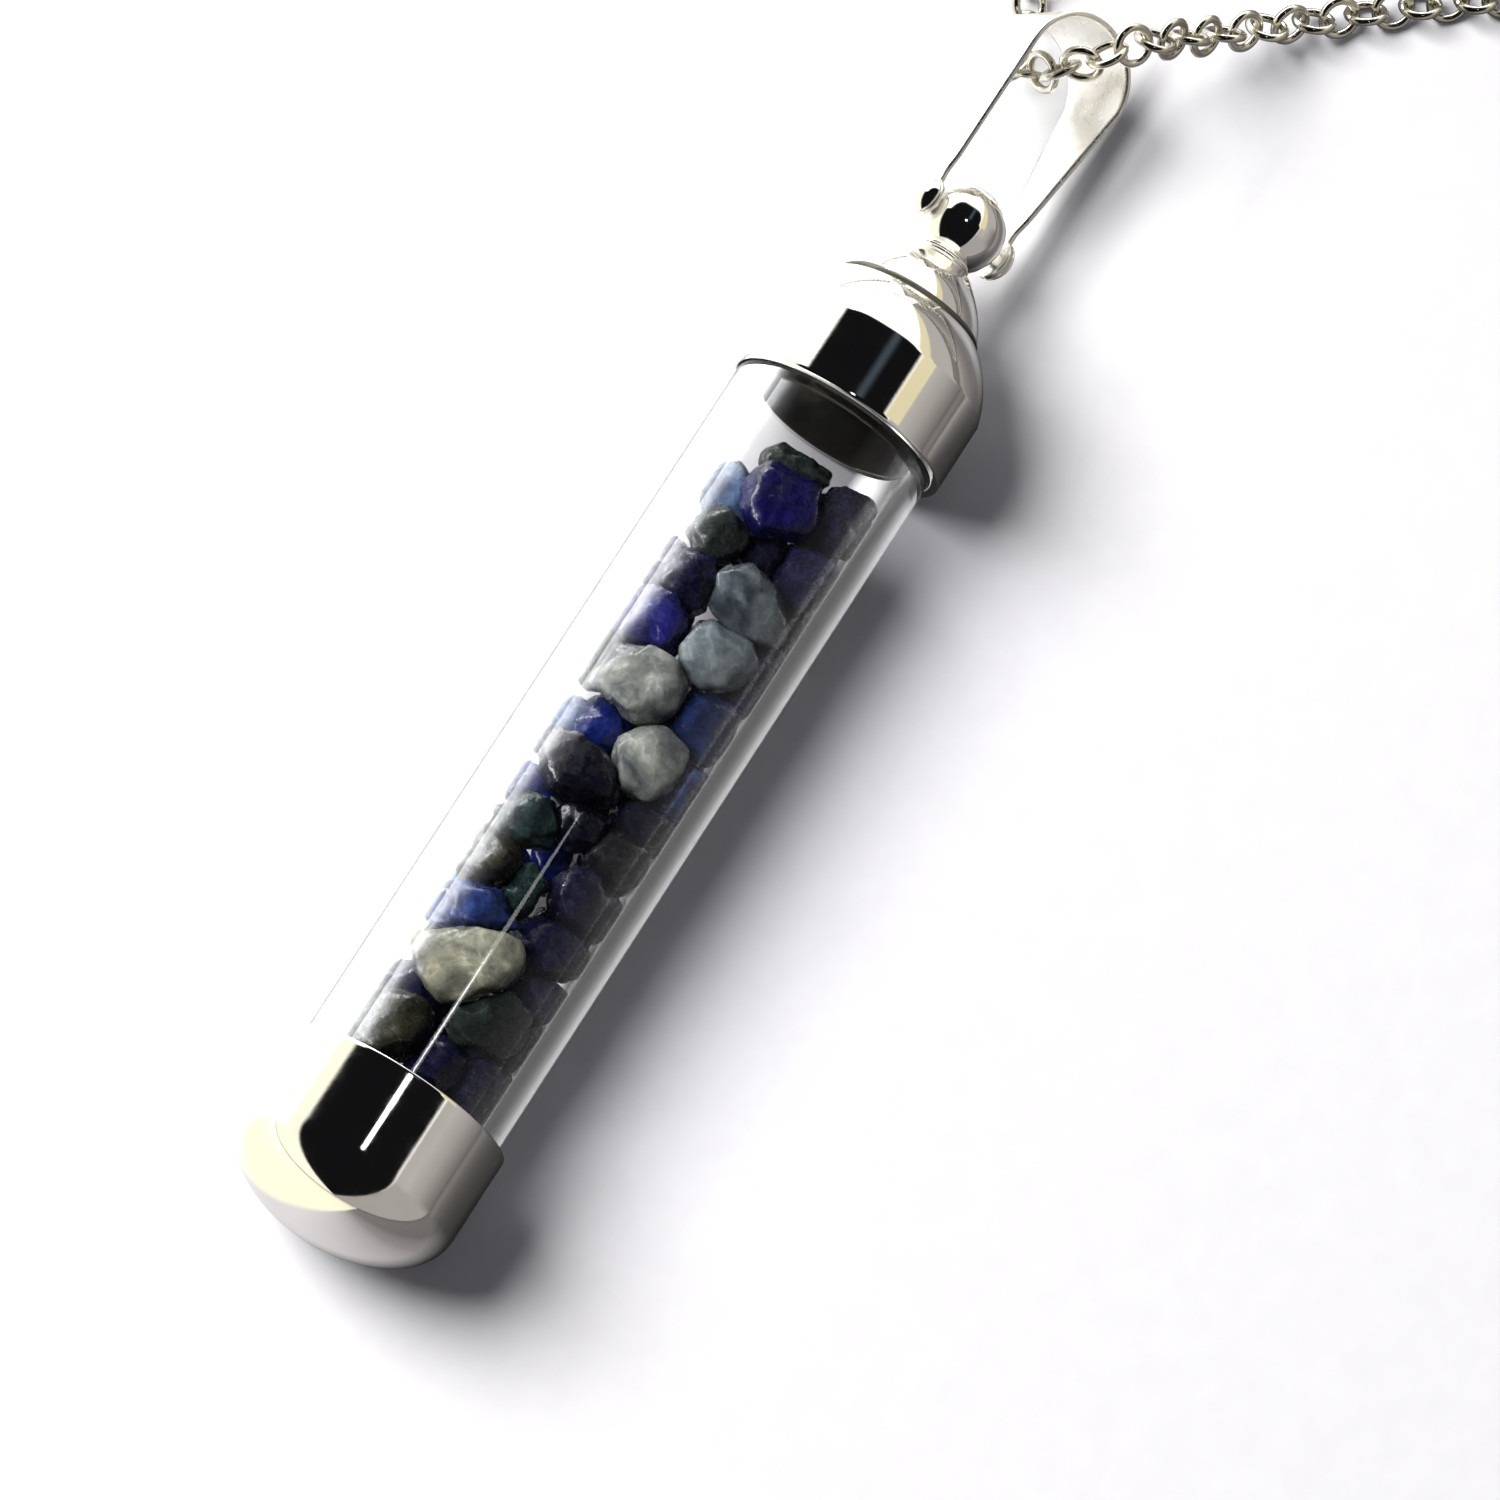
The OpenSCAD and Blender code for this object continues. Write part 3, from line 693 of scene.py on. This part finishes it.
STONE_TINTS = {
    "slate": (0.062, 0.064, 0.135), "violet": (0.074, 0.070, 0.33), "ice": (0.34, 0.42, 0.56),
    "moss": (0.095, 0.120, 0.110), "dusk": (0.110, 0.108, 0.22), "plum": (0.060, 0.050, 0.12),
    "indigo": (0.042, 0.045, 0.17), "pale": (0.47, 0.485, 0.46), "steel": (0.10, 0.155, 0.32),
    "blue": (0.085, 0.15, 0.44), "navy": (0.019, 0.020, 0.060), "teal": (0.10, 0.165, 0.155),
    "grey": (0.100, 0.102, 0.185), "olive": (0.11, 0.105, 0.065), "cream": (0.47, 0.47, 0.41),
    "mist": (0.40, 0.435, 0.45), "lilac": (0.38, 0.37, 0.47), "umber": (0.070, 0.064, 0.070),
    "azure": (0.18, 0.27, 0.50)}
# Colours of the chips that no row names, and of those below the height LOW
UNDER_TINTS = ["slate", "indigo", "dusk", "grey", "navy", "moss"]
LOW_TINTS = ["steel", "indigo", "mist", "blue", "moss", "violet", "pale", "slate", "ice", "olive", "navy"]
LOW = -0.8
# A chip takes a row's colour when its middle is nearer than this
ROW_REACH = 0.9
# No chip reaches further than this from the pendant's axis
STONE_REACH = 3.86
# For each kind: number of flats, how deep the flats cut, lumps, grain, share of light let through
STONE_KINDS = {"rough": (10, 0.78, 0.20, 0.05, 0.1), "smooth": (6, 0.88, 0.10, 0.01, 0.3),
               "crystal": (12, 0.74, 0.10, 0.02, 0.75)}
# How far each chip swells towards its neighbours
SWELL = 0.10
# How fine the lumps and the grain are
LUMP_SCALE = 1.1
GRAIN_SCALE = 4.5
# Share of a chip's reach at which its shallowest flat lies
SHALLOWEST = 0.98
# Range of the factor that makes chips of one colour differ
SHADES = (0.85, 1.15)
STONE_SEED = 100
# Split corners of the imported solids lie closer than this, in metres
WELD = 1e-7


def islands(mesh):
    """Corner numbers of each loose solid of a mesh."""
    parent = list(range(len(mesh.vertices)))

    def root(i):
        while parent[i] != i:
            parent[i] = parent[parent[i]]
            i = parent[i]
        return i

    for a, b in (edge.vertices for edge in mesh.edges):
        parent[root(a)] = root(b)
    groups = {}
    for i in range(len(parent)):
        groups.setdefault(root(i), []).append(i)
    return sorted(groups.values(), key=lambda g: g[0])


def welded_stones():
    """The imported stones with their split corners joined."""
    bm = bmesh.new()
    bm.from_mesh(frame["nodes"]["stones"].data)
    bmesh.ops.remove_doubles(bm, verts=bm.verts, dist=WELD)
    mesh = bpy.data.meshes.new("welded")
    bm.to_mesh(mesh)
    bm.free()
    return mesh


def cut_flats(part, rng, flats, depth):
    """Presses flats into a chip from random sides."""
    for _ in range(flats):
        way = Vector((rng.gauss(0, 1), rng.gauss(0, 1), rng.gauss(0, 1))).normalized()
        reach = max(v.co.dot(way) for v in part.verts) * rng.uniform(depth, SHALLOWEST)
        for v in part.verts:
            v.co -= way * max(0.0, v.co.dot(way) - reach)


def roughen(part, rng, lumps, grain, left, up):
    """Swells a chip, gives it lumps and grain, and keeps it inside the glass."""
    shift = Vector((rng.uniform(-50, 50), rng.uniform(-50, 50), rng.uniform(-50, 50)))
    for v in part.verts:
        lump = noise.fractal((v.co + shift) * LUMP_SCALE, 1.0, 2.0, 2)
        fine = noise.fractal((v.co + shift) * GRAIN_SCALE, 0.8, 2.1, 3)
        v.co += v.normal * (SWELL + lumps * lump + grain * fine)
        from_axis = math.hypot(v.co.y + left, v.co.z + up)
        if from_axis > STONE_REACH:
            v.co.y = (v.co.y + left) * STONE_REACH / from_axis - left
            v.co.z = (v.co.z + up) * STONE_REACH / from_axis - up


def stones():
    """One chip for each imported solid, all in one mesh."""
    welded = welded_stones()
    groups = islands(welded)
    faces = {}
    owner = {i: g for g, members in enumerate(groups) for i in members}
    for polygon in welded.polygons:
        faces.setdefault(owner[polygon.vertices[0]], []).append(list(polygon.vertices))
    kinds = list(STONE_KINDS)
    total = bmesh.new()
    layer = total.loops.layers.color.new("tint")
    for g, members in enumerate(groups):
        rng = random.Random(STONE_SEED + g)
        corners = {i: Vector(welded.vertices[i].co) / MM for i in members}
        middle = sum(corners.values(), Vector()) / len(corners)
        along, left, up = middle.x - MOUTH_X, middle.y - AXIS_Y, middle.z - AXIS_Z
        near = min(STONE_ROWS, key=lambda r: math.dist(r[:3], (along, left, up)))
        if math.dist(near[:3], (along, left, up)) < ROW_REACH:
            name, kind = near[3:]
        else:
            tints = LOW_TINTS if up < LOW else UNDER_TINTS
            name, kind = tints[g % len(tints)], kinds[g % len(kinds)]
        flats, depth, lumps, grain, clearness = STONE_KINDS[kind]
        part = bmesh.new()
        made = {i: part.verts.new(corners[i] - middle) for i in members}
        for face in faces[g]:
            part.faces.new([made[i] for i in face])
        bmesh.ops.subdivide_edges(part, edges=part.edges, cuts=4, use_grid_fill=True, smooth=0.5)
        bmesh.ops.smooth_vert(part, verts=part.verts, factor=0.5,
                              use_axis_x=True, use_axis_y=True, use_axis_z=True)
        cut_flats(part, rng, flats, depth)
        bmesh.ops.recalc_face_normals(part, faces=part.faces)
        part.normal_update()
        roughen(part, rng, lumps, grain, left, up)
        shade = rng.uniform(*SHADES)
        tint = (*(tone * shade for tone in STONE_TINTS[name]), clearness)
        index = {v: total.verts.new(v.co + middle) for v in part.verts}
        for face in part.faces:
            new = total.faces.new([index[v] for v in face.verts])
            for loop in new.loops:
                loop[layer] = tint
        part.free()
    bpy.data.meshes.remove(welded)
    keep("chips", to_mesh(total, "chips"), STONES, "vial", "gem_chips", "stones")


caps()
crown()
ball()
glass()
bail()
pin()
chain()
clasp()
stones()


# Floor: all places in metres, from the origin of the frame
FLOOR_HALF = 4.0
# Painted tones of the floor that only the metal's reflections show: painted shade from far on the right up
# to the pendant, painted light on its left
PAINTED_REFLECTION_TONES = [(0.0, (0.13, 0.122, 0.12)), (0.42, (0.078, 0.074, 0.073)), (0.67, (0.04, 0.038, 0.038)),
              (0.76, (0.027, 0.026, 0.027)), (0.87, (0.04, 0.038, 0.04)), (0.98, (0.95, 0.95, 0.95))]
# Painted shade past the bottom cap, as the metal reflects the floor, from the right up to the pendant
SHADED_TONES = [(0.0, (0.10, 0.095, 0.095)), (0.45, (0.20, 0.19, 0.19)), (0.77, (0.40, 0.385, 0.39)),
                (1.0, (0.55, 0.54, 0.55))]
# The painted lit floor past the bottom cap, as the metal reflects it
LIT_TONE = (0.83, 0.79, 0.60)
# Through the glass's wall: the floor further out dimmed as painted shade, and a painted glow for the light
# that the glass gathers beside itself
DIM_TONES = [(0.0, 0.11), (0.45, 0.12), (0.70, 0.25), (1.0, 0.8)]
GATHERED_TONES = [(0.0, 0.0), (0.35, 0.1), (0.62, 0.9), (0.8, 1.5), (1.0, 0.0)]
# Patches with soft edges, as X and Y where each edge starts and ends
BALL_RIM_DARK_REFLECTION = ((-0.0468, -0.0458, -0.0420, -0.0405), (-0.0035, -0.0020, 0.0015, 0.0030))
GLOW_INSIDE = ((-0.050, -0.0468, -0.0388, -0.034), (-0.0029, -0.0023, 0.00225, 0.0040))
GLOW_BESIDE = ((-0.053, -0.046, -0.037, -0.033), (-0.0100, -0.0065, -0.0043, -0.0034))
# The very bright far left of the room
FAR_LEFT = (24.0, 24.4, 25.0)


def floor():
    """A pale floor, with painted tones for what the metal and the glass show of it, and painted light
    patches.
    """
    n = Surface("pale_floor")
    grain = n.noise(scale=520.0, detail=5.0)
    pale = n.ramp(grain, [(0.35, (0.805, 0.80, 0.81)), (0.65, (0.83, 0.825, 0.835))])
    x, y, _ = n.axes(n.place)
    ray = n.light_path()

    def patch(x_stops, y_stops):
        sides = []
        for value, stops in ((x, x_stops), (y, y_stops)):
            low, high = stops[0], stops[3]
            places = [(v - low) / (high - low) for v in stops]
            sides.append(n.ramp(n.span(value, low, high), list(zip(places, (0.0, 1.0, 1.0, 0.0)))))
        return n.math("MULTIPLY", *sides)

    # Painted reflection of the floor, seen only in the metal: shade on the right, light on the left
    side = n.ramp(n.span(y, -0.090, 0.010), PAINTED_REFLECTION_TONES)
    # A painted brighter reflection of the floor on the far right, by the domes
    lit_by_dome = n.math("MULTIPLY", n.span(x, -0.055, -0.046), n.span(y, -0.050, -0.038))
    side = n.blend("MULTIPLY", side, (4.2, 4.1, 4.0), lit_by_dome)
    # A painted white reflection of the floor under the bail, which the bail's inner face shows
    lit_under_bail = n.math("MULTIPLY", n.span(x, -0.050, -0.047), n.span(y, -0.003, 0.0))
    side = n.mix(side, (0.98, 0.98, 0.97), lit_under_bail)
    # A painted dark spot on the floor, which the ball's far rim shows as a reflection
    side = n.mix(side, (0.13, 0.12, 0.115), patch(*BALL_RIM_DARK_REFLECTION))
    # Past the bottom cap a slanting line parts the painted shade from the painted lit floor, as the metal
    # reflects them
    lit = n.span(n.math("MULTIPLY_ADD", x, -0.29, y), 0.0349, 0.0361)
    past_cap = n.span(x, -0.106, -0.100, 1.0, 0.0)
    shaded = n.ramp(n.span(y, -0.020, 0.002), SHADED_TONES)
    side = n.mix(side, n.mix(shaded, LIT_TONE, lit), past_cap)
    by_metal = n.math("SUBTRACT", ray["Is Glossy Ray"], ray["Is Singular Ray"], clamp=True)
    beside = n.math("MULTIPLY", n.span(x, -0.058, -0.055, 1.0, 0.0), ray["Is Singular Ray"])
    through = n.blend("MULTIPLY", pale, n.ramp(n.span(y, -0.016, -0.004), DIM_TONES), beside)
    n.feed(n.mix(through, side, by_metal), "Base Color")
    # A painted glow on the floor beside the glass
    gathered = n.ramp(n.span(y, -0.0075, -0.0020), GATHERED_TONES)
    light = n.mix((0.0, 0.0, 0.0), gathered, beside)
    # A painted glow for the bright room beyond the floor's lit side, which only the glass shows
    straight = n.math("SUBTRACT", ray["Is Singular Ray"], ray["Diffuse Depth"], clamp=True)
    bounced = n.math("MULTIPLY", ray["Glossy Depth"], ray["Transmission Depth"])
    clean = n.math("SUBTRACT", straight, bounced, clamp=True)
    light = n.mix(light, FAR_LEFT, n.math("MULTIPLY", n.span(y, 0.008, 0.012), clean))
    # A painted pool of light on the floor inside the bail, for light that its polished leg throws there,
    # and painted light that lightens the bail's shadow beside it
    light = n.blend("ADD", light, (0.5, 0.5, 0.49), patch(*GLOW_INSIDE))
    light = n.blend("ADD", light, (0.34, 0.34, 0.345), patch(*GLOW_BESIDE))
    n.feed(light, "Emission Color")
    n.set(Emission_Strength=1.0, Roughness=0.75)
    n.bump(grain, strength=0.15, distance=0.0002)
    bm = bmesh.new()
    bmesh.ops.create_grid(bm, x_segments=4, y_segments=4, size=FLOOR_HALF)
    mesh = bpy.data.meshes.new("floor")
    bm.to_mesh(mesh)
    bm.free()
    mesh.materials.append(n.material)
    piece = bpy.data.objects.new("floor", mesh)
    bpy.context.scene.collection.objects.link(piece)


floor()


# Light, with angles in degrees: around from straight up to the left, along from straight up to the bail

# Tones of the room's right side as the metal shows it, from the horizon up to the dark patch
RIGHT_TONES = [(0.0, (0.17, 0.158, 0.152)), (0.2, (0.27, 0.254, 0.244)), (0.39, (0.38, 0.353, 0.337)),
               (0.73, (0.50, 0.468, 0.447)), (1.0, (0.46, 0.438, 0.417))]
RIGHT_SPAN = 49
# Tones of the room as the glass shows it, from the right horizon over the top to the left
GLASS_TONES = [(0.0, (0.30, 0.29, 0.30)), (0.08, (0.14, 0.135, 0.14)), (0.22, (0.10, 0.10, 0.11)),
               (0.25, (0.01, 0.01, 0.012)), (0.68, (0.01, 0.01, 0.012)), (0.74, (0.35, 0.35, 0.36)),
               (0.79, (1.2, 1.2, 1.22))]
# Where the room changes towards the bail
BAIL_SIDE = (14.0, 16.0)
# The dark patch turns from one half width and middle to another between two angles along the pendant
PATCH_TURN = (12.4, 17.0)
PATCH_HALVES = (50.8, 42.8)
PATCH_MIDDLES = (10.1, 8.0)
PATCH_TONE = (0.006, 0.006, 0.007)
BAND_MIDDLE = -5.5
BAND_HALF = 7.0
BAND_TONE = (0.055, 0.07, 0.09)
# What a second mirror shows of the dark patch is fainter by this share
TWICE = 0.8
ROOM_TONE = (0.95, 0.95, 0.96)
SCATTERED_TONE = (0.074, 0.072, 0.084)


def world():
    """A bright room with a dark patch overhead, as the polished metal shows it."""
    room = bpy.data.worlds.new("room")
    bpy.context.scene.world = room
    room.use_nodes = True
    n = Nodes(room.node_tree)
    n.tree.nodes.clear()
    x, y, z = n.axes(n.add("ShaderNodeTexCoord").outputs["Generated"])
    ray = n.light_path()
    around = n.math("MULTIPLY", n.math("ARCTAN2", y, z), 180 / math.pi)
    along = n.math("MULTIPLY", n.math("ARCSINE", x), 180 / math.pi)
    by_bail = n.step(along, *BAIL_SIDE)

    # The grey right side, changing towards both ends
    right = n.ramp(n.math("MULTIPLY_ADD", around, 1 / RIGHT_SPAN, 90 / RIGHT_SPAN), RIGHT_TONES)
    right = n.mix(right, (0.46, 0.43, 0.41), n.step(along, 20.0, 40.0))
    right = n.mix(right, (0.40, 0.375, 0.36), n.rest(n.step(along, -12.0, 6.0)))
    # The bright top, the cream left side and the very bright far left
    colour = n.mix(right, (1.5, 1.48, 1.4), n.step(around, -43.0, -40.0))
    left = n.math("MULTIPLY", n.rest(by_bail), n.step(around, 20.0, 40.0))
    colour = n.mix(colour, (1.12, 1.08, 0.90), left)
    ahead = n.step(along, -12.0, -4.0)
    colour = n.mix(colour, (10.0, 10.2, 10.4), n.math("MULTIPLY", ahead, n.step(around, 76.0, 82.0)))
    colour = n.mix(colour, FAR_LEFT, n.math("MULTIPLY", ahead, n.step(around, 80.0, 100.0)))
    # A cream stripe on the right of the dark patch
    stripe = n.math("MULTIPLY", n.step(around, -54.0, -52.0), n.rest(n.step(around, -38.0, -33.0)))
    colour = n.mix(colour, (0.80, 0.72, 0.47), n.math("MULTIPLY", stripe, by_bail))

    # The dark patch overhead, with a faint blue band
    half = n.math("ADD", n.span(along, *PATCH_TURN, *PATCH_HALVES), n.span(along, -45.0, 8.0, 1.5, 0.0))
    centre = n.span(along, *PATCH_TURN, *PATCH_MIDDLES)
    sideways = n.math("DIVIDE", n.math("ABSOLUTE", n.math("SUBTRACT", around, centre)), half)
    upwards = n.math("MAXIMUM", n.math("MULTIPLY_ADD", along, 1 / 50, 0.0), 0.0)
    edge = n.math("ADD", n.math("POWER", sideways, 5.0), n.math("POWER", upwards, 3.5))
    twice = n.math("MULTIPLY", n.step(ray["Glossy Depth"], 1.2, 1.8), TWICE)
    inside = n.math("MULTIPLY", n.rest(n.step(edge, 0.75, 1.2)), n.rest(twice))
    band = n.rest(n.step(n.math("ABSOLUTE", n.math("ADD", around, -BAND_MIDDLE)), 0.0, BAND_HALF))
    patch = n.mix(PATCH_TONE, BAND_TONE, n.math("MULTIPLY", band, by_bail))
    colour = n.mix(colour, patch, inside)

    # What the glass shows, what lights dull surfaces, and what the camera sees itself
    by_glass = n.ramp(n.span(around, -90.0, 110.0), GLASS_TONES)
    by_glass = n.mix(by_glass, (12.0, 12.2, 12.4), n.step(around, 68.0, 90.0))
    by_glass = n.mix(by_glass, (26.0, 26.4, 27.0), n.step(around, 78.0, 92.0))
    colour = n.mix(colour, by_glass, ray["Is Singular Ray"])
    colour = n.mix(colour, SCATTERED_TONE, n.math("MINIMUM", ray["Diffuse Depth"], 1.0))
    colour = n.mix(colour, ROOM_TONE, ray["Is Camera Ray"])
    back = n.add("ShaderNodeBackground")
    n.link(colour, back.inputs["Color"])
    n.link(back.outputs[0], n.add("ShaderNodeOutputWorld").inputs["Surface"])


# The lights point at this place in the tube
LIGHTS_AIM = (-72.0, -2.0, 5.0)


def disc_light(name, place, size, energy, colour, reflected):
    """A round soft light aimed at the pendant; places and sizes in millimetres."""
    light = bpy.data.lights.new(name, "AREA")
    light.shape = "DISK"
    light.size = size * MM
    light.energy = energy
    light.color = colour
    piece = bpy.data.objects.new(name, light)
    bpy.context.scene.collection.objects.link(piece)
    piece.location = Vector(place) * MM
    target = Vector(LIGHTS_AIM) * MM
    piece.rotation_mode = "QUATERNION"
    piece.rotation_quaternion = (target - piece.location).to_track_quat("-Z", "Y")
    piece.visible_glossy = reflected
    piece.visible_transmission = reflected


world()
disc_light("lamp", (20.0, 1.0, 505.0), 16.0, 0.0080, (1.0, 1.0, 1.0), reflected=True)
disc_light("glow", (20.0, 1.0, 507.0), 46.0, 0.012, (1.0, 1.0, 1.0), reflected=True)
disc_light("key", (-115.0, 358.0, 450.0), 370.0, 5.8, (1.0, 0.99, 1.0), reflected=False)


# Camera: tilted from overhead, with the pendant running up and to the right; lengths in millimetres
def camera():
    away = 500.0
    wide = 66.67
    sensor = 36.0
    tilt = math.radians(15)
    aim = Vector((-74.7, -4.3, 5.5))
    back = Vector((-math.sin(tilt), 0, math.cos(tilt)))
    along = Vector((math.cos(tilt), 0, math.sin(tilt)))
    # The picture's up lies between the pendant's own direction and its left
    up = along * 0.84 + Vector((0, 1, 0)) * 0.5426
    right = up.cross(back)
    up = back.cross(right)
    data = bpy.data.cameras.new("camera")
    data.sensor_width = sensor
    data.lens = sensor * away / wide
    data.clip_start = 0.01
    data.clip_end = 20.0
    piece = bpy.data.objects.new("camera", data)
    bpy.context.scene.collection.objects.link(piece)
    facing = Matrix((right, up, back)).transposed().to_4x4()
    piece.matrix_world = Matrix.Translation((aim + back * away) * MM) @ facing
    bpy.context.scene.camera = piece


camera()
bpy.context.scene.view_settings.view_transform = "Standard"
